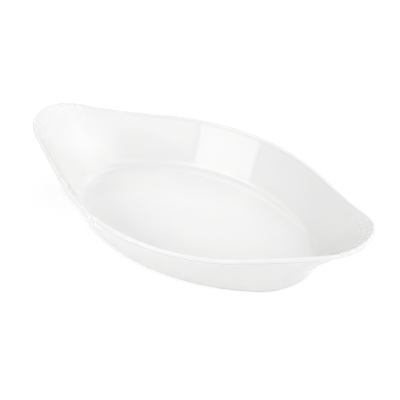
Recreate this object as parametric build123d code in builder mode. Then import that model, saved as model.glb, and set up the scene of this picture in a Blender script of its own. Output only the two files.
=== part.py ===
from build123d import *

import os
from math import acos, atan2, cos, degrees, hypot, log, pi, sin

# Oval gratin dish with two lobed ears: one casting of glazed porcelain on an unglazed foot ring.
# The files are the zones of that one casting, cut where they meet face to face.
#
# Millimetres, +Z up, +X along the ears. The origin is on the ground under the middle of the dish.
# The skin is drawn from its middle line, which climbs from the base line out to the centre of the lip.
# All four quarters are alike, so the dish is drawn for one quarter and mirrored.

# Overall sizes, lip included
length = 262.0
width = 144.6
side_height = 38.6
ear_rise = 11.0

# Rim line seen from above: a tip arc, a flare arc that hollows a little, and a side arc.
# The side arc is a share of the one that would meet the tip arc with no flare between them.
rim_tip_radius = 28.0
rim_flare_radius = 1200.0
rim_side_radius_share = 0.793

# Base line seen from above, where the middle of the skin would meet the ground: a four-centre oval
base_length = 177.0
base_width = 102.6
base_tip_radius = 36.5

# Side view: the share of the way to the tip at which the rim has climbed half of its rise,
# and how much the skin hollows on its way out at the tip, compared with a straight one
half_climb_share = 0.805
ear_hollow_share = 0.52

# Skin and lip. The lip is a round bead that stands proud of the skin on both sides. It sits on the skin's
# flat top, a step below the bead's centre.
wall_thickness = 3.4
lip_step_inside = 0.5
lip_step_outside = 0.9
lip_seat = 1.2

# Floor, the curve between floor and skin, and the eased edge under the skin
floor_thickness = 4.6
well_radius = 9.0
base_bevel = 0.8

# Unglazed foot ring, a step inside the skin's outer face
foot_height = 1.8
foot_width = 5.0
foot_step = 0.9
foot_bevel = 0.6

# How far beyond the base line's tip an ear takes over from the wall
ear_start = 11.5

# Lobes of an ear: grooves mark off a row on the lip and a row on the skin inside it. Along a lobe of the lip,
# each pair holds a share of the pitch and the share of the groove's depth that the bead has sunk there.
lobe_count = 11
lobe_pitch = 5.0
lobe_length = 4.6
row_groove_distance = 5.8
groove_radius = 1.2
groove_depth = 0.6
lip_groove_depth = 0.5
lobe_profile_shares = [(0, 0), (0.3, 0.15), (0.5, 1), (0.7, 0.15)]

# How far a cutting shape runs past what it cuts
overrun = 3.0

# Points on each quarter of an outline, level sections up the skin, and spans of the lip from the last lobe
# of an ear to the middle of the side, which crowd towards the ear
quarter_points = 12
levels = 5
plain_spans = 12
plain_crowding_share = 1.5

lip_radius = (wall_thickness + lip_step_inside + lip_step_outside) / 2
inner_offset = lip_radius - lip_step_inside
outer_offset = lip_step_outside - lip_radius
half_length = length / 2 - lip_radius
half_width = width / 2 - lip_radius
floor_top = foot_height + floor_thickness
loft_top = side_height + ear_rise + overrun


def oval_side_radius(half_long, half_short, tip_radius):
    """Side radius of the four-centre oval whose side arcs meet its tip arcs smoothly."""
    return (half_long**2 + half_short**2 - 2 * half_long * tip_radius) / (2 * (half_short - tip_radius))


base_side_radius = oval_side_radius(base_length / 2, base_width / 2, base_tip_radius)
base_tip_centre = (base_length / 2 - base_tip_radius, 0)
base_side_centre = (0, base_width / 2 - base_side_radius)
base_turn = atan2(-base_side_centre[1], base_tip_centre[0])

rim_side_radius = rim_side_radius_share * oval_side_radius(half_length, half_width, rim_tip_radius)
rim_tip_centre = (half_length - rim_tip_radius, 0)
rim_side_centre = (0, half_width - rim_side_radius)


def on_arc(centre, radius, angle):
    """The point of a circle at an angle in radians."""
    return centre[0] + radius * cos(angle), centre[1] + radius * sin(angle)


def base_outline(share):
    """Point of a quarter of the base line, from its tip at share 0 to the middle of its side at share 1."""
    tip_run = base_tip_radius * base_turn
    side_run = base_side_radius * (pi / 2 - base_turn)
    travelled = share * (tip_run + side_run)
    if travelled < tip_run:
        return on_arc(base_tip_centre, base_tip_radius, travelled / base_tip_radius)
    return on_arc(base_side_centre, base_side_radius, base_turn + (travelled - tip_run) / base_side_radius)


def rim_outline(share):
    """Point of a quarter of the rim line, from the ear's tip at share 0 to the middle of the side at share 1.

    The flare arc hollows the other way. Its centre lies outside the dish, at the third corner of a triangle
    on the centres of the tip arc and the side arc.
    """
    tip_to_flare = rim_tip_radius + rim_flare_radius
    side_to_flare = rim_side_radius + rim_flare_radius
    between = hypot(rim_tip_centre[0], rim_side_centre[1])
    corner = acos((tip_to_flare**2 + between**2 - side_to_flare**2) / (2 * tip_to_flare * between))
    tip_turn = atan2(rim_side_centre[1], -rim_tip_centre[0]) + 2 * pi - corner
    flare_centre = on_arc(rim_tip_centre, tip_to_flare, tip_turn)
    side_turn = atan2(flare_centre[1] - rim_side_centre[1], flare_centre[0])
    tip_run = rim_tip_radius * tip_turn
    flare_run = rim_flare_radius * (tip_turn - side_turn)
    side_run = rim_side_radius * (pi / 2 - side_turn)
    travelled = share * (tip_run + flare_run + side_run)
    if travelled < tip_run:
        return on_arc(rim_tip_centre, rim_tip_radius, travelled / rim_tip_radius)
    if travelled < tip_run + flare_run:
        flare_angle = pi + tip_turn - (travelled - tip_run) / rim_flare_radius
        return on_arc(flare_centre, rim_flare_radius, flare_angle)
    side_angle = side_turn + (travelled - tip_run - flare_run) / rim_side_radius
    return on_arc(rim_side_centre, rim_side_radius, side_angle)


def rim_height(x):
    """Height of the lip's centre: level along the side, climbing ever faster towards the ear."""
    power = log(1 / 2) / log(half_climb_share)
    return side_height - lip_radius + ear_rise * (abs(x) / half_length) ** power


def skin_point(share, climb, offset):
    """Point of the skin at shares of its quarter and its climb, moved inwards by an offset square to it."""
    base_x, base_y = base_outline(share)
    rim_x, rim_y = rim_outline(share)
    run = hypot(rim_x - base_x, rim_y - base_y)
    rise = rim_height(rim_x)
    hollow = ear_hollow_share * (rim_x / half_length) ** 2
    slope_out = run * (1 - hollow * (1 - 2 * climb))
    slant = hypot(slope_out, rise)
    out = run * climb * (1 - hollow * (1 - climb)) - offset * rise / slant
    x = base_x + (rim_x - base_x) * out / run
    y = base_y + (rim_y - base_y) * out / run
    return Vector(x, y, rise * climb + offset * slope_out / slant)


def level_point(share, height, offset):
    """Point of the skin at a height, found by halving the climb between two shares, as drawn on its level."""
    low_share, high_share, halvings = -1, 2, 40
    for _ in range(halvings):
        climb = (low_share + high_share) / 2
        if skin_point(share, climb, offset).Z < height:
            low_share = climb
        else:
            high_share = climb
    point = skin_point(share, climb, offset)
    return Vector(point.X, point.Y)


def quarter_line(point):
    """Smooth line through a quarter's points, square to both mirror planes at its ends."""
    nudge_share = 1 / 1000
    leaving = Vector(0, point(nudge_share).Y / nudge_share)
    arriving = Vector(-point(1 - nudge_share).X / nudge_share, 0)
    shares = [i / quarter_points for i in range(quarter_points + 1)]
    points = [point(share) for share in shares]
    return Edge.make_spline(points, tangents=[leaving, arriving], parameters=shares, scale=False)


def skin_sections(bottom, offset):
    """Level sections of all that lies inside one face of the skin, at even heights from the bottom up."""
    for i in range(levels):
        height = bottom + (loft_top - bottom) * i / (levels - 1)
        with BuildSketch(Plane.XY.offset(height)) as section:
            with BuildLine():
                add(quarter_line(lambda share: level_point(share, height, offset)))
                mirror(about=Plane.XZ)
                mirror(about=Plane.YZ)
            make_face()
        yield section.sketch


def plane_across(point, share, upward):
    """Plane square to the line that a point draws over a quarter, its first direction nearest to upward."""
    nudge_share = 1 / 1000
    ahead = point(share + nudge_share) - point(share - nudge_share)
    return Plane(point(share), x_dir=ahead.cross(upward.cross(ahead)), z_dir=ahead)


def lip_plane(share):
    """Plane square to the rim line, with its first direction up the skin."""
    nudge_share = 1 / 1000
    climbing = skin_point(share, 1, 0) - skin_point(share, 1 - nudge_share, 0)
    return plane_across(lambda at: skin_point(at, 1, 0), share, climbing)


def seat_width(radius):
    """Width of the flat seat under a bead of a radius."""
    return 2 * radius * sin(acos(lip_seat / radius))


def base_oval(set_in):
    """Face inside the base line, drawn in all round."""
    side_turn = pi / 2 - base_turn
    with BuildSketch() as oval:
        with BuildLine():
            CenterArc(base_tip_centre, base_tip_radius - set_in, 0, degrees(base_turn))
            CenterArc(base_side_centre, base_side_radius - set_in, degrees(base_turn), degrees(side_turn))
            mirror(about=Plane.XZ)
            mirror(about=Plane.YZ)
        make_face()
    return oval.sketch


def lobe_share(number):
    """Share of the quarter's rim line at a lobe, counted from the one on the tip."""
    return number * lobe_pitch / rim_line.length


def groove_point(share, distance):
    """Point on the middle of a groove, above the skin's inner face at a distance down from the rim line."""
    step_share = 1 / quarter_points
    step = (skin_point(share, 1, 0) - skin_point(share, 1 - step_share, 0)).length
    return skin_point(share, 1 - step_share * distance / step, inner_offset + groove_radius - groove_depth)


def keep_quarter():
    """Cuts the part being built down to its quarter with positive x and y."""
    split(bisect_by=Plane.XZ, keep=Keep.BOTTOM)
    split(bisect_by=Plane.YZ, keep=Keep.TOP)


def bottom_curve(quarter):
    """The curved edge at the bottom of a quarter."""
    return quarter.edges().group_by(Axis.Z)[0].filter_by(GeomType.LINE, reverse=True)


def add_mirrored(part, *planes):
    """Adds a part and its images in the planes to the part being built, with their faces kept as they are."""
    pieces = [part]
    for plane in planes:
        pieces += [mirror(piece, about=plane, mode=Mode.PRIVATE) for piece in pieces]
    add(pieces, clean=False)


os.makedirs("parts", exist_ok=True)

rim_line = quarter_line(lambda share: skin_point(share, 1, 0))

# Rings of the lip on a quarter: each lobe swells from a groove to its full radius, then come plain spans
lip_rings = []
for number in range((lobe_count + 1) // 2):
    for step_share, sunk_share in lobe_profile_shares:
        lip_rings.append((lobe_share(number + step_share), lip_radius - lip_groove_depth * sunk_share))
lip_rings = lip_rings[: 1 - len(lobe_profile_shares) // 2]
plain_start = lip_rings[-1][0]
for i in range(1, plain_spans + 1):
    along_share = (i / plain_spans) ** plain_crowding_share
    lip_rings.append((plain_start + (1 - plain_start) * along_share, lip_radius))

# The lip of one quarter: a round bead with a flat seat square to the skin, which ends there
with BuildPart() as lip:
    for share, radius in lip_rings:
        with BuildSketch(lip_plane(share)):
            Circle(radius)
            with Locations((-lip_seat, 0)):
                Rectangle(lip_radius, 2 * lip_radius, align=(Align.MAX, Align.CENTER), mode=Mode.SUBTRACT)
    loft(ruled=True, clean=False)

# Room above the seat, twice as wide as it, which parts the skin from what is left over above
with BuildPart() as above_seat:
    for share, radius in lip_rings:
        with BuildSketch(lip_plane(share)):
            with Locations((-lip_seat, 0)):
                Rectangle(2 * overrun, 2 * seat_width(radius), align=(Align.MIN, Align.CENTER))
    loft(ruled=True, clean=False)

# Grooves between the lobes on the skin of half an ear: sharp ones up and down it, and one between the rows
with BuildPart() as grooves:
    groove_shares = [lobe_share(i + 1 / 2) for i in range((lobe_count + 1) // 2)]
    for share in groove_shares:
        inner_end = groove_point(share, row_groove_distance + lobe_length)
        outer_end = groove_point(share, -lip_radius)
        ahead = outer_end - inner_end
        upright = ahead.cross(Vector(0, 0, 1).cross(ahead))
        with BuildSketch(Plane(inner_end, x_dir=upright, z_dir=ahead)):
            RegularPolygon(groove_radius, 4)
        extrude(amount=ahead.length)

with BuildPart() as row_groove:
    for share in [-groove_shares[0], *groove_shares]:
        across = plane_across(lambda at: groove_point(at, row_groove_distance), share, Vector(0, 0, 1))
        with BuildSketch(across):
            RegularPolygon(groove_radius, 4)
    loft(ruled=True, clean=False)

# Everything inside the skin's outer face, and everything inside its inner face
with BuildPart() as block:
    for section in skin_sections(foot_height, outer_offset):
        add(section)
    loft(clean=False)
    keep_quarter()
    chamfer(bottom_curve(block), base_bevel)

with BuildPart() as core:
    for section in skin_sections(floor_top, inner_offset):
        add(section)
    loft(clean=False)
    keep_quarter()
    fillet(bottom_curve(core), well_radius)

# Flat floor plate: it ends inside the curve that climbs into the skin
with BuildPart() as floor:
    with BuildSketch(Plane.XY.offset(foot_height)):
        add(base_oval(well_radius))
    extrude(amount=floor_thickness)

# One quarter of the skin round the floor, up to the lip's seat
with BuildPart() as skin:
    add(block.part)
    for cutter in (core, floor, above_seat):
        add(cutter.part, mode=Mode.SUBTRACT, clean=False)
quarter_skin = skin.solids().sort_by(Axis.Z)[0]

ear_plane = Plane.YZ.offset(base_length / 2 + ear_start)

with BuildPart() as wall_quarter:
    add(quarter_skin)
    split(bisect_by=ear_plane, keep=Keep.BOTTOM)

with BuildPart() as wall:
    add_mirrored(wall_quarter.part, Plane.XZ, Plane.YZ)

with BuildPart() as ear_half:
    add(quarter_skin)
    split(bisect_by=ear_plane, keep=Keep.TOP)
    add([grooves.part, row_groove.part], mode=Mode.SUBTRACT, clean=False)

with BuildPart() as right_ear:
    add_mirrored(ear_half.part, Plane.XZ)

with BuildPart() as left_ear:
    add(mirror(right_ear.part, about=Plane.YZ, mode=Mode.PRIVATE), clean=False)

with BuildPart() as rim:
    add_mirrored(lip.part, Plane.XZ, Plane.YZ)

# Foot ring under the outer edge of the skin
with BuildPart() as foot_ring:
    with BuildSketch():
        add(base_oval(outer_offset + foot_step))
        add(base_oval(outer_offset + foot_step + foot_width), mode=Mode.SUBTRACT)
    extrude(amount=foot_height)
    chamfer(foot_ring.edges().group_by(Axis.Z)[0], foot_bevel)

zones = {
    "floor": floor,
    "foot_ring": foot_ring,
    "wall": wall,
    "left_ear": left_ear,
    "right_ear": right_ear,
    "rim": rim,
}
for name, zone in zones.items():
    zone.part.label = name
    export_step(zone.part, f"parts/{name}.step")
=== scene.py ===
"""Looks of an oval gratin dish in white porcelain: glazed casting, bare foot ring, pale floor and soft lamps.

Everything is in metres, in the frame of the solid model: +X along the ears, +Z up, the ground at zero.
"""

import math

import bpy
import numpy as np
from mathutils import Matrix, Vector


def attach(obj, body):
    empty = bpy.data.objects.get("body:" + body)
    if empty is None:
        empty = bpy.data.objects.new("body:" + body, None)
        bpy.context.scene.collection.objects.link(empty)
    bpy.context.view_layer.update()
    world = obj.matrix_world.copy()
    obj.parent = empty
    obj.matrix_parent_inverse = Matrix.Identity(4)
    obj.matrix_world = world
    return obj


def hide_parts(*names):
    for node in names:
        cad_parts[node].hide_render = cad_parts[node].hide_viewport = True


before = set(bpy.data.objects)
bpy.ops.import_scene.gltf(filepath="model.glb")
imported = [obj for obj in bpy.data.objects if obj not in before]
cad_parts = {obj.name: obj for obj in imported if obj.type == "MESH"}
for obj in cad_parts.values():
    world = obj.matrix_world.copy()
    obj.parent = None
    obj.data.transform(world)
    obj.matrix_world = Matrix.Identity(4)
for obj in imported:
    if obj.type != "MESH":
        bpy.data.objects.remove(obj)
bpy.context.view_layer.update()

MM = 0.001

# Sizes of the casting, the same as the solid model's but for a slimmer lip and skin
LENGTH = 262.0 * MM
WIDTH = 144.6 * MM
SIDE_HEIGHT = 38.6 * MM
EAR_RISE = 11.0 * MM
RIM_TIP_RADIUS = 28.0 * MM
RIM_FLARE_RADIUS = 1200.0 * MM
RIM_SIDE_RADIUS_SHARE = 0.793
BASE_LENGTH = 177.0 * MM
BASE_WIDTH = 102.6 * MM
BASE_TIP_RADIUS = 36.5 * MM
HALF_CLIMB_SHARE = 0.805
EAR_HOLLOW_SHARE = 0.52
WALL_THICKNESS = 2.7 * MM
LIP_STEP_INSIDE = 0.2 * MM
LIP_STEP_OUTSIDE = 0.5 * MM
FLOOR_THICKNESS = 4.6 * MM
WELL_RADIUS = 9.0 * MM
BASE_ROUND = 0.8 * MM
FOOT_HEIGHT = 1.8 * MM

LIP_RADIUS = (WALL_THICKNESS + LIP_STEP_INSIDE + LIP_STEP_OUTSIDE) / 2
INNER_OFFSET = LIP_RADIUS - LIP_STEP_INSIDE
OUTER_OFFSET = LIP_STEP_OUTSIDE - LIP_RADIUS
HALF_LENGTH = LENGTH / 2 - LIP_RADIUS
HALF_WIDTH = WIDTH / 2 - LIP_RADIUS
FLOOR_TOP = FOOT_HEIGHT + FLOOR_THICKNESS

# Glaze pools in the corners where the lip's bead leaves the skin, and rounds them, more so outside
LIP_COVE = 1.5 * MM
OUTER_COVE = 7.0 * MM

# Lobes pressed into the ears: a row on the lip and a row on the skin inside it.
# Their places are distances down the inner face from the level of the lip's centre.
LOBE_PITCH = 5.0 * MM
LOBE_COUNT = 11
ROW_GROOVE = 5.8 * MM
LOBE_BAND_END = 10.4 * MM
LOBE_OUTER_END = -4.6 * MM
LOBE_CREST = 0.18 * MM
LOBE_DEPTH_SKIN = 0.22 * MM
LOBE_DEPTH_LIP = 0.45 * MM

# The lobes have the lip's depth down to the first of these places, and the skin's from the second one
LIP_DEPTH_END = 0.5 * MM
SKIN_DEPTH_START = 3.0 * MM

# Powers of the lobes' pillows, squarer as they get smaller
LOBE_POWER = 0.55
LIP_LOBE_POWER = 0.3

# The relief fades from so far before an end of the lobes to so far past it
BAND_END_FADE = (-0.6 * MM, 0.5 * MM)
OUTER_END_FADE = (-1.0 * MM, 1.2 * MM)
LAST_LOBE_FADE = (-0.5 * MM, 0.7 * MM)

# Rows of the glazed surface in each stretch, from the middle of the floor round to that of the underside
ROWS = {
    "floor": 12,
    "well": 13,
    "lower_skin": 11,
    "lobe_band": 24,
    "inner_cove": 4,
    "bead": 30,
    "outer_cove": 6,
    "outside": 17,
    "base_edge": 6,
    "underside": 8,
}

# Distance below the lip's centre at which the rows of the lobe band start
LOBE_BAND_START = 12.0 * MM

# Shares of its outer ring to which the rows of a level disc are drawn in
INNERMOST_SHARE = 0.04
OUTERMOST_SHARE = 0.97

# Columns of a quarter: a close step on the ear, where the lobes are, and wider ones on flare and side
EAR_COLUMNS_END = 32.0 * MM
EAR_COLUMN_STEP = 0.5 * MM
FLARE_COLUMNS_END = 60.0 * MM
FLARE_COLUMNS = 23
SIDE_COLUMNS = 45

# The climb at which a height is reached is looked for between two limits, in so many halvings
CLIMB_LIMITS = (-1.0, 1.5)
HALVINGS = 40

# Porcelain, and the stretch of a noise over which its tone changes
PORCELAIN_IOR = 1.5
TONE_STRETCH = (0.35, 0.65)

# Floor: the matt tone that lights the dish, and the shade and glow that are seen
FLOOR_HALF_SIZE = 4.0
FLOOR_MATT = 0.92
FLOOR_SHADE = 0.45
FLOOR_GLOW = 0.65

# White surroundings: how bright they are seen, and how bright they are as a light
WORLD_SEEN = 1.0
WORLD_LIGHT = 0.09

# Softboxes round the dish: bearing from +X, raise, width and height in degrees, and brightness.
# The right patch and its core add a soft spot where the right box and the high right one meet.
SOFTBOX_DISTANCE = 1.5
SOFTBOXES = {
    "low_front_left": (-107.5, 12.5, 33, 25, 2.06),
    "low_right": (27, 9, 34, 18, 1.5),
    "front_left": (-112, 35, 45, 19, 3.09),
    "left": (-157, 31.5, 45, 25, 1.24),
    "front_right": (-22, 31.5, 45, 25, 1.57),
    "low_front_right": (-24, 9, 66, 18, 0.25),
    "front": (-67, 31.5, 45, 25, 0.93),
    "back_left": (113, 31.5, 45, 25, 0.41),
    "right": (23, 31.5, 45, 25, 1.3),
    "right_patch": (21, 43, 28, 20, 0.75),
    "right_patch_core": (21, 43, 14, 14, 0.9),
    "back_right": (68, 31.5, 45, 25, 0.97),
    "high_front_right": (-30, 56.5, 60, 25, 1.42),
    "high_back_left": (150, 56.5, 60, 25, 1.46),
    "high_right": (30, 56.5, 60, 25, 0.98),
    "high_back": (90, 56.5, 60, 25, 1.78),
}

# Camera of the photograph: bearing and raise in degrees, sensor in millimetres, lens and shift in pixels
CAMERA_BEARING = -55.37
CAMERA_RAISE = 38.28
CAMERA_DISTANCE = 767.9 * MM
SENSOR_WIDTH = 36.0
PICTURE_PIXELS = 400
FOCAL_PIXELS = 1120.0
SHIFT_RIGHT_PIXELS = 6.33
SHIFT_UP_PIXELS = 27.99
NEAR_CLIP = 0.05
FAR_CLIP = 20.0


def oval_side_radius(half_long, half_short, tip_radius):
    """Side radius of a four-centre oval: (a^2 + b^2 - 2 a r) / (2 (b - r)).

    Here a and b are the half sizes and r is the tip radius.
    """
    return (half_long**2 + half_short**2 - 2 * half_long * tip_radius) / (2 * (half_short - tip_radius))


def on_arc(centre, radius, angle):
    """Points of a circle: the centre plus the radius times (cos, sin) of the angle."""
    return np.stack([centre[0] + radius * np.cos(angle), centre[1] + radius * np.sin(angle)], axis=-1)


def base_outline(share):
    """A quarter of the base line by travelled length: a tip arc, then a side arc that leaves it smoothly."""
    side_radius = oval_side_radius(BASE_LENGTH / 2, BASE_WIDTH / 2, BASE_TIP_RADIUS)
    tip_centre = (BASE_LENGTH / 2 - BASE_TIP_RADIUS, 0.0)
    side_centre = (0.0, BASE_WIDTH / 2 - side_radius)
    turn = math.atan2(-side_centre[1], tip_centre[0])
    tip_run = BASE_TIP_RADIUS * turn
    side_run = side_radius * (math.pi / 2 - turn)
    travelled = share * (tip_run + side_run)
    tip = on_arc(tip_centre, BASE_TIP_RADIUS, travelled / BASE_TIP_RADIUS)
    side = on_arc(side_centre, side_radius, turn + (travelled - tip_run) / side_radius)
    return np.where((travelled < tip_run)[..., None], tip, side)


def rim_arcs():
    """Side radius, and the centres, turns and runs of the rim line's three arcs.

    The flare's centre lies as far from each of the other two as the radii that meet there add up to.
    """
    side_radius = RIM_SIDE_RADIUS_SHARE * oval_side_radius(HALF_LENGTH, HALF_WIDTH, RIM_TIP_RADIUS)
    tip_centre = (HALF_LENGTH - RIM_TIP_RADIUS, 0.0)
    side_centre = (0.0, HALF_WIDTH - side_radius)
    tip_to_flare = RIM_TIP_RADIUS + RIM_FLARE_RADIUS
    side_to_flare = side_radius + RIM_FLARE_RADIUS
    between = math.hypot(tip_centre[0], side_centre[1])
    corner = math.acos((tip_to_flare**2 + between**2 - side_to_flare**2) / (2 * tip_to_flare * between))
    tip_turn = math.atan2(side_centre[1], -tip_centre[0]) + 2 * math.pi - corner
    flare_centre = (
        tip_centre[0] + tip_to_flare * math.cos(tip_turn),
        tip_centre[1] + tip_to_flare * math.sin(tip_turn),
    )
    side_turn = math.atan2(flare_centre[1] - side_centre[1], flare_centre[0])
    runs = (
        RIM_TIP_RADIUS * tip_turn,
        RIM_FLARE_RADIUS * (tip_turn - side_turn),
        side_radius * (math.pi / 2 - side_turn),
    )
    return side_radius, tip_centre, side_centre, flare_centre, tip_turn, side_turn, runs


def rim_outline(share):
    """A quarter of the rim line by travelled length: a tip arc, a hollow flare arc and a side arc.

    Each arc leaves the one before it smoothly.
    """
    side_radius, tip_centre, side_centre, flare_centre, tip_turn, side_turn, runs = rim_arcs()
    travelled = share * sum(runs)
    tip = on_arc(tip_centre, RIM_TIP_RADIUS, travelled / RIM_TIP_RADIUS)
    flare_angle = math.pi + tip_turn - (travelled - runs[0]) / RIM_FLARE_RADIUS
    flare = on_arc(flare_centre, RIM_FLARE_RADIUS, flare_angle)
    side = on_arc(side_centre, side_radius, side_turn + (travelled - runs[0] - runs[1]) / side_radius)
    past_tip = (travelled >= runs[0])[..., None]
    past_flare = (travelled >= runs[0] + runs[1])[..., None]
    return np.where(past_flare, side, np.where(past_tip, flare, tip))


def rim_height(x):
    """Height of the lip's centre: side height less lip radius, plus a share of the ear's rise.

    The share is (|x| / half length) to a power, with which half of the rise is reached at the half-climb
    share of the half length.
    """
    power = math.log(0.5) / math.log(HALF_CLIMB_SHARE)
    return SIDE_HEIGHT - LIP_RADIUS + EAR_RISE * (np.abs(x) / HALF_LENGTH) ** power


class Skin:
    """The skin's upright cross-sections, one per column, each in its own plane from base line to rim line.

    At a climb c the middle line lies run * c * (1 - h (1 - c)) out and rise * c up, with the ear's hollow h.
    An offset moves a point square to that line, inwards where it is positive.
    """

    def __init__(self, share, x_sign, y_sign):
        signs = np.stack([x_sign, y_sign], axis=-1)
        self.base = base_outline(share) * signs
        rim = rim_outline(share) * signs
        self.run = np.linalg.norm(rim - self.base, axis=-1)
        self.out_way = (rim - self.base) / self.run[:, None]
        self.rise = rim_height(rim[:, 0])
        self.hollow = EAR_HOLLOW_SHARE * (rim[:, 0] / HALF_LENGTH) ** 2
        self.slant = self.slope(1.0)[2]

    def slope(self, climb):
        """How fast the middle line goes out and up with the climb, and the two together."""
        out = self.run * (1 - self.hollow * (1 - 2 * climb))
        return out, self.rise, np.hypot(out, self.rise)

    def section(self, climb, offset):
        """Distances out and up of a point at a climb and an offset."""
        slope_out, slope_up, slant = self.slope(climb)
        out = self.run * climb * (1 - self.hollow * (1 - climb)) - offset * slope_up / slant
        return out, self.rise * climb + offset * slope_out / slant

    def place(self, out, up):
        """Puts distances out and up into space."""
        ground = self.base + self.out_way * np.asarray(out)[..., None]
        up = np.broadcast_to(up, ground.shape[:-1])
        return np.concatenate([ground, up[..., None]], axis=-1)

    def near_lip(self, along, offset):
        """A point at a distance along the skin from the lip's centre (up is positive) and an offset."""
        return self.place(*self.section(1 + along / self.slant, offset))

    def climb_at(self, height, offset):
        """Climb at which a line at an offset reaches a height, by halving between two climbs."""
        low = np.full_like(self.run, CLIMB_LIMITS[0])
        high = np.full_like(self.run, CLIMB_LIMITS[1])
        for _ in range(HALVINGS):
            middle = (low + high) / 2
            short = self.section(middle, offset)[1] < height
            low = np.where(short, middle, low)
            high = np.where(short, high, middle)
        return (low + high) / 2

    def floor_curve(self, level, offset, radius, steps):
        """Arc of a radius that leaves the skin at an offset and lies tangent to a level plane below it.

        Its centre is where the skin's line at (offset + radius) is one radius above the plane. The arc turns
        from the skin's normal there, at step 0, to straight down, at step 1. The climb at which it leaves the
        skin is given with it.
        """
        climb = self.climb_at(level + radius, offset + radius)
        centre_out, centre_up = self.section(climb, offset + radius)
        slope_out, slope_up, _ = self.slope(climb)
        start = np.arctan2(-slope_out, slope_up)
        angle = start + (-math.pi / 2 - start) * steps[:, None]
        return climb, self.place(centre_out + radius * np.cos(angle), centre_up + radius * np.sin(angle))


def step_between(low, high, value):
    """Smooth step from 0 at the low value to 1 at the high one: 3 t^2 - 2 t^3 of the share between them."""
    t = np.clip((value - low) / (high - low), 0, 1)
    return t * t * (3 - 2 * t)


def past_end(end, fade, value):
    """Smooth step from 0 before an end to 1 past it, over a fade given by its two distances from the end."""
    return step_between(end + fade[0], end + fade[1], value)


def pillow(t, power):
    """A pillow's crown over its width, t from -1/2 to 1/2: the cosine of pi t, to a power below one."""
    return np.clip(np.cos(math.pi * np.clip(t, -0.5, 0.5)), 0, 1) ** power


def between_ends(start, end, value):
    """Place of a value between two ends: -1/2 at the start, 1/2 at the end."""
    return (value - (start + end) / 2) / (end - start)


def lobe_relief(along_rim, below_rim):
    """Height of the pressed lobes above the plain skin.

    Each lobe is a pillow along the rim times a pillow down the skin, and rises from the grooves' depth to its
    crest. The height fades out at the ends of the band and past the last lobe on each side.
    """
    t_rim = along_rim / LOBE_PITCH
    across = pillow(t_rim - np.round(t_rim), LOBE_POWER)
    on_band = pillow(between_ends(ROW_GROOVE, LOBE_BAND_END, below_rim), LOBE_POWER)
    on_lip = pillow(between_ends(LOBE_OUTER_END, ROW_GROOVE, below_rim), LIP_LOBE_POWER)
    down = np.where(below_rim > ROW_GROOVE, on_band, on_lip)
    on_skin = step_between(LIP_DEPTH_END, SKIN_DEPTH_START, below_rim)
    depth = LOBE_DEPTH_LIP + (LOBE_DEPTH_SKIN - LOBE_DEPTH_LIP) * on_skin
    crest = LOBE_CREST * on_skin
    fade = 1 - past_end(LOBE_BAND_END, BAND_END_FADE, below_rim)
    fade = fade * past_end(LOBE_OUTER_END, OUTER_END_FADE, below_rim)
    fade = fade * (1 - past_end(LOBE_PITCH * LOBE_COUNT / 2, LAST_LOBE_FADE, np.abs(along_rim)))
    return ((crest + depth) * across * down - depth) * fade


def ring_of_columns():
    """Shares of the quarter, signs and distances along the rim from the nearer tip, once round the dish.

    Every second quarter runs backwards and leaves out its two ends, which its neighbours have.
    """
    run = sum(rim_arcs()[-1])
    ear = np.arange(0, EAR_COLUMNS_END + EAR_COLUMN_STEP / 2, EAR_COLUMN_STEP)
    flare = np.linspace(EAR_COLUMNS_END, FLARE_COLUMNS_END, FLARE_COLUMNS + 1)[1:]
    side = np.linspace(FLARE_COLUMNS_END, run, SIDE_COLUMNS + 1)[1:]
    forwards = np.concatenate([ear, flare, side])
    backwards = forwards[1:-1][::-1]
    along = np.concatenate([forwards, backwards, forwards, backwards])
    count, half = len(forwards), len(backwards)
    x_sign = np.concatenate([np.ones(count), -np.ones(half + count), np.ones(half)])
    y_sign = np.concatenate([np.ones(count + half), -np.ones(count + half)])
    return along / run, x_sign, y_sign, along


def inner_rows(start, end, count):
    """So many values, evenly spaced between a start and an end that are left out, one to a row."""
    return np.linspace(start, end, count + 2)[1:-1, None]


def shrunk(ring, shares):
    """Rows of a flat disc: a level ring drawn in towards the middle of the dish by each share in turn."""
    return ring * np.stack([shares, shares, np.ones_like(shares)], axis=-1)[:, None, :]


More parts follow.
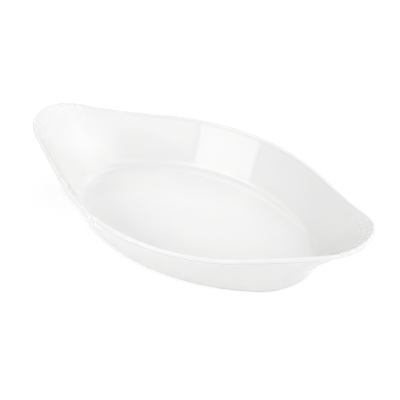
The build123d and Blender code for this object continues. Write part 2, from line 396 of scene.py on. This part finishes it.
def glazed_casting():
    """The whole glazed casting as one closed surface.

    Its rows run from the middle of the floor out through the well, up the skin, over the lip, down the
    outside and under the base to the middle of the underside. Its columns run once round the dish.
    """
    share, x_sign, y_sign, along_rim = ring_of_columns()
    skin = Skin(share, x_sign, y_sign)

    well_steps = np.linspace(1, 0, ROWS["well"])
    well_climb, well = skin.floor_curve(FLOOR_TOP, INNER_OFFSET, WELL_RADIUS, well_steps)
    floor = shrunk(well[:1], np.linspace(INNERMOST_SHARE, OUTERMOST_SHARE, ROWS["floor"]))

    band_climb = 1 - LOBE_BAND_START / skin.slant
    rows = inner_rows(0, 1, ROWS["lower_skin"])
    lower = skin.place(*skin.section(well_climb + (band_climb - well_climb) * rows, INNER_OFFSET))

    band_top = math.sqrt((LIP_RADIUS + LIP_COVE) ** 2 - (INNER_OFFSET + LIP_COVE) ** 2)
    below = np.linspace(LOBE_BAND_START, band_top, ROWS["lobe_band"])[:, None]
    band = skin.near_lip(-below, INNER_OFFSET + lobe_relief(along_rim, below))

    # Cove from the skin's inner face to the bead, about a centre inside the dish
    lean = math.atan2(band_top, INNER_OFFSET + LIP_COVE)
    turn = inner_rows(0, lean, ROWS["inner_cove"])
    reach = LIP_COVE - lobe_relief(along_rim, band_top - LIP_COVE * turn)
    cove_in = skin.near_lip(reach * np.sin(turn) - band_top, INNER_OFFSET + LIP_COVE - reach * np.cos(turn))

    outer_drop = math.sqrt((LIP_RADIUS + OUTER_COVE) ** 2 - (OUTER_COVE - OUTER_OFFSET) ** 2)
    outer_lean = math.atan2(outer_drop, OUTER_COVE - OUTER_OFFSET)
    turn = np.linspace(-lean, math.pi + outer_lean, ROWS["bead"])[:, None]
    reach = LIP_RADIUS + lobe_relief(along_rim, -LIP_RADIUS * turn)
    bead = skin.near_lip(reach * np.sin(turn), reach * np.cos(turn))

    # Cove from the bead to the skin's outer face, about a centre outside the dish
    turn = inner_rows(outer_lean, 0, ROWS["outer_cove"])
    cove_offset = OUTER_OFFSET - OUTER_COVE * (1 - np.cos(turn))
    cove_out = skin.near_lip(OUTER_COVE * np.sin(turn) - outer_drop, cove_offset)

    edge_steps = np.linspace(0, 1, ROWS["base_edge"])
    edge_climb, edge = skin.floor_curve(FOOT_HEIGHT, OUTER_OFFSET, BASE_ROUND, edge_steps)
    top_climb = 1 - outer_drop / skin.slant
    rows = np.linspace(0, 1, ROWS["outside"] + 1)[:-1, None]
    outside = skin.place(*skin.section(top_climb + (edge_climb - top_climb) * rows, OUTER_OFFSET))
    under = shrunk(edge[-1:], np.linspace(OUTERMOST_SHARE, INNERMOST_SHARE, ROWS["underside"]))

    grid = np.concatenate([floor, well, lower, band, cove_in, bead, cove_out, outside, edge, under])
    middles = np.array([[0, 0, FLOOR_TOP], [0, 0, FOOT_HEIGHT]])
    return closed_surface("glazed_casting", grid, middles)


def add_to_scene(name, data):
    """New object in the scene that carries a mesh, a lamp or a camera."""
    added = bpy.data.objects.new(name, data)
    bpy.context.scene.collection.objects.link(added)
    return added


def closed_surface(name, grid, middles):
    """Mesh from rows of points that close round.

    A first middle point is fanned to the first row, and a second one to the last row.
    """
    rows, columns = grid.shape[:2]
    index = np.arange(rows * columns).reshape(rows, columns)
    ahead = np.roll(index, -1, axis=1)
    quads = np.stack([index[:-1], index[1:], ahead[1:], ahead[:-1]], axis=-1).reshape(-1, 4)
    first, last = rows * columns, rows * columns + 1
    start_fan = np.stack([np.full(columns, first), index[0], ahead[0]], axis=-1)
    end_fan = np.stack([np.full(columns, last), ahead[-1], index[-1]], axis=-1)
    points = np.concatenate([grid.reshape(-1, 3), middles])
    mesh = bpy.data.meshes.new(name)
    mesh.from_pydata(points.tolist(), [], quads.tolist() + start_fan.tolist() + end_fan.tolist())
    mesh.shade_smooth()
    return add_to_scene(name, mesh)


def new_material(name):
    """An empty node material and its nodes and links."""
    material = bpy.data.materials.new(name)
    material.use_nodes = True
    tree = material.node_tree
    tree.nodes.clear()
    return material, tree.nodes, tree.links


def fired_body(nodes, links, specular):
    """Shader of fired porcelain, joined to the material's output; specular is how much it mirrors head-on."""
    output = nodes.new("ShaderNodeOutputMaterial")
    shader = nodes.new("ShaderNodeBsdfPrincipled")
    shader.inputs["IOR"].default_value = PORCELAIN_IOR
    shader.inputs["Specular IOR Level"].default_value = specular
    links.new(shader.outputs["BSDF"], output.inputs["Surface"])
    return shader


def object_noise(nodes, links, scale, detail, roughness):
    """Noise over the piece's own coordinates, at a scale per metre."""
    coordinates = nodes.new("ShaderNodeTexCoord")
    noise = nodes.new("ShaderNodeTexNoise")
    noise.inputs["Scale"].default_value = scale
    noise.inputs["Detail"].default_value = detail
    noise.inputs["Roughness"].default_value = roughness
    links.new(coordinates.outputs["Object"], noise.inputs["Vector"])
    return noise


def two_tones(nodes, links, shader, noise, low, high):
    """Colour that goes from a low to a high tone over the middle of a noise."""
    ramp = nodes.new("ShaderNodeValToRGB")
    for element, position, tone in zip(ramp.color_ramp.elements, TONE_STRETCH, (low, high)):
        element.position = position
        element.color = (*tone, 1)
    links.new(noise.outputs["Fac"], ramp.inputs["Fac"])
    links.new(ramp.outputs["Color"], shader.inputs["Base Color"])


def uneven_gloss(nodes, links, shader, noise, low, high):
    """Roughness that goes from low to high with a noise."""
    spread = nodes.new("ShaderNodeMapRange")
    spread.inputs["To Min"].default_value = low
    spread.inputs["To Max"].default_value = high
    links.new(noise.outputs["Fac"], spread.inputs["Value"])
    links.new(spread.outputs["Result"], shader.inputs["Roughness"])


def uneven_surface(nodes, links, shader, noise, strength, height):
    """Bumps that follow a noise, of a height in metres."""
    bump = nodes.new("ShaderNodeBump")
    bump.inputs["Strength"].default_value = strength
    bump.inputs["Distance"].default_value = height
    links.new(noise.outputs["Fac"], bump.inputs["Height"])
    links.new(bump.outputs["Normal"], shader.inputs["Normal"])


def porcelain_glaze():
    """Clear glossy glaze over white porcelain: faint cloudy tone, a barely uneven surface."""
    material, nodes, links = new_material("porcelain_glaze")
    shader = fired_body(nodes, links, specular=0.5)
    cloud = object_noise(nodes, links, scale=38, detail=3, roughness=0.55)
    two_tones(nodes, links, shader, cloud, low=(0.868, 0.873, 0.866), high=(0.882, 0.886, 0.877))
    sheen = object_noise(nodes, links, scale=90, detail=2, roughness=0.5)
    uneven_gloss(nodes, links, shader, sheen, low=0.04, high=0.08)
    peel = object_noise(nodes, links, scale=260, detail=2, roughness=0.45)
    uneven_surface(nodes, links, shader, peel, strength=0.12, height=0.08 * MM)
    return material


def bare_biscuit():
    """Unglazed fired porcelain of the ground foot ring: matt, slightly warm, with a fine grain."""
    material, nodes, links = new_material("bare_biscuit")
    shader = fired_body(nodes, links, specular=0.25)
    grain = object_noise(nodes, links, scale=2400, detail=4, roughness=0.6)
    two_tones(nodes, links, shader, grain, low=(0.77, 0.745, 0.70), high=(0.83, 0.81, 0.77))
    rub = object_noise(nodes, links, scale=160, detail=3, roughness=0.5)
    uneven_gloss(nodes, links, shader, rub, low=0.72, high=0.92)
    uneven_surface(nodes, links, shader, grain, strength=0.4, height=0.1 * MM)
    return material


def seen_rays(nodes, links):
    """One for rays that see the backdrop itself (camera, gloss, glass), zero for those that gather light."""
    rays = nodes.new("ShaderNodeLightPath")
    seen = rays.outputs["Is Camera Ray"]
    for kind in ("Is Glossy Ray", "Is Transmission Ray"):
        either = nodes.new("ShaderNodeMath")
        either.operation = "MAXIMUM"
        links.new(seen, either.inputs[0])
        links.new(rays.outputs[kind], either.inputs[1])
        seen = either.outputs["Value"]
    return seen


def seen_and_felt(nodes, links, output, seen, felt):
    """Shows one shader to the rays that see the backdrop, and another to those that gather its light."""
    pick = nodes.new("ShaderNodeMixShader")
    links.new(seen_rays(nodes, links), pick.inputs["Fac"])
    links.new(felt, pick.inputs[1])
    links.new(seen, pick.inputs[2])
    links.new(pick.outputs["Shader"], output.inputs["Surface"])


def matt_grey(nodes, tone):
    """Plain matt surface of a grey tone."""
    surface = nodes.new("ShaderNodeBsdfDiffuse")
    surface.inputs["Color"].default_value = (tone, tone, tone, 1)
    return surface.outputs["BSDF"]


def even_white(nodes, strength):
    """White surroundings of a strength."""
    surroundings = nodes.new("ShaderNodeBackground")
    surroundings.inputs["Color"].default_value = (1, 1, 1, 1)
    surroundings.inputs["Strength"].default_value = strength
    return surroundings.outputs["Background"]


def studio_floor():
    """Wide pale floor.

    Seen directly or in the glaze it is white with the dish's soft shadow. It lights the dish as matt white.
    """
    size = FLOOR_HALF_SIZE
    mesh = bpy.data.meshes.new("studio_floor")
    corners = [(-size, -size, 0), (size, -size, 0), (size, size, 0), (-size, size, 0)]
    mesh.from_pydata(corners, [], [(0, 1, 2, 3)])
    floor = add_to_scene("studio_floor", mesh)
    material, nodes, links = new_material("studio_floor")
    output = nodes.new("ShaderNodeOutputMaterial")
    glow = nodes.new("ShaderNodeEmission")
    glow.inputs["Strength"].default_value = FLOOR_GLOW
    shown = nodes.new("ShaderNodeAddShader")
    links.new(matt_grey(nodes, FLOOR_SHADE), shown.inputs[0])
    links.new(glow.outputs["Emission"], shown.inputs[1])
    seen_and_felt(nodes, links, output, seen=shown.outputs["Shader"], felt=matt_grey(nodes, FLOOR_MATT))
    mesh.materials.append(material)


def studio_world():
    """Even white surroundings: white to the camera and in a gloss, and dimmer as a light."""
    world = bpy.data.worlds.new("studio")
    bpy.context.scene.world = world
    world.use_nodes = True
    nodes, links = world.node_tree.nodes, world.node_tree.links
    nodes.clear()
    output = nodes.new("ShaderNodeOutputWorld")
    backdrop, light = even_white(nodes, WORLD_SEEN), even_white(nodes, WORLD_LIGHT)
    seen_and_felt(nodes, links, output, seen=backdrop, felt=light)


def facing_the_dish(bearing, raised, distance):
    """Placing matrix of a lamp or camera that looks at the frame's origin from a distance.

    The bearing from +X and the raise above the ground are in degrees. The back points away from the origin,
    the right side lies level, and the upper side stands square to both.
    """
    turn, lift = math.radians(bearing), math.radians(raised)
    back = Vector((math.cos(turn) * math.cos(lift), math.sin(turn) * math.cos(lift), math.sin(lift)))
    right = Vector((0, 0, 1)).cross(back).normalized()
    sides = Matrix((right, back.cross(right), back)).transposed().to_4x4()
    return Matrix.Translation(back * distance) @ sides


def softbox(name, bearing, raised, wide, tall, brightness):
    """Area lamp that faces the dish, wide and tall in degrees as seen from it.

    A side is 2 * distance * tan(half its angle). The width is counted in degrees of bearing, which draw
    together with the cosine of the raise. The power is the face's brightness times its area times pi.
    """
    light = bpy.data.lights.new(name, "AREA")
    light.shape = "RECTANGLE"
    reach = 2 * SOFTBOX_DISTANCE
    light.size = reach * math.cos(math.radians(raised)) * math.tan(math.radians(wide / 2))
    light.size_y = reach * math.tan(math.radians(tall / 2))
    light.energy = brightness * light.size * light.size_y * math.pi
    lamp = add_to_scene(name, light)
    lamp.matrix_world = facing_the_dish(bearing, raised, SOFTBOX_DISTANCE)


def photo_camera():
    """Camera at the photograph's angle: raised and to the right of the front, long lens, small shift."""
    optics = bpy.data.cameras.new("photo_camera")
    optics.sensor_width = SENSOR_WIDTH
    optics.lens = FOCAL_PIXELS / PICTURE_PIXELS * SENSOR_WIDTH
    optics.shift_x = SHIFT_RIGHT_PIXELS / PICTURE_PIXELS
    optics.shift_y = SHIFT_UP_PIXELS / PICTURE_PIXELS
    optics.clip_start = NEAR_CLIP
    optics.clip_end = FAR_CLIP
    camera = add_to_scene("photo_camera", optics)
    camera.matrix_world = facing_the_dish(CAMERA_BEARING, CAMERA_RAISE, CAMERA_DISTANCE)
    bpy.context.scene.camera = camera


casting = glazed_casting()
casting.data.materials.append(porcelain_glaze())
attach(casting, "root")
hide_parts("floor", "wall", "left_ear", "right_ear", "rim")

ring = bpy.data.objects["foot_ring"]
ring.data.materials.clear()
ring.data.materials.append(bare_biscuit())

studio_floor()
studio_world()
for lamp_name, lamp_values in SOFTBOXES.items():
    softbox(lamp_name, *lamp_values)
photo_camera()
bpy.context.scene.view_settings.view_transform = "Standard"
